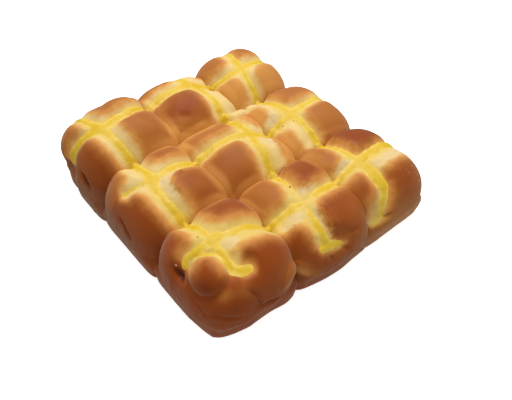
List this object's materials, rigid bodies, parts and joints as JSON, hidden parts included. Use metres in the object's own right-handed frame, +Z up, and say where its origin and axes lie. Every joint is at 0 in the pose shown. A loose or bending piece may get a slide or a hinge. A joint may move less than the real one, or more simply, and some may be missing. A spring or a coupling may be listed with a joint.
{
  "type": "custard potato bun slab",
  "caption": "Square pull-apart slab of soft browned potato buns baked together in a tin, with lines of yellow custard piped across the top so that they cross on every bun.",
  "frame": {"origin": "middle of the slab's footprint, at the height of the flat underside that it rests on", "axes": "+Z up out of the domed tops, +X and +Y along the two sides of the square tin"},
  "size_m": [0.1943, 0.2048, 0.0576],
  "materials": {
    "crust": "satin brown bread crust, paler beside the custard",
    "custard": "satin baked custard"
  },
  "bodies": {
    "root": {"bread": "crust", "custard": "custard"}
  },
  "joints": []
}
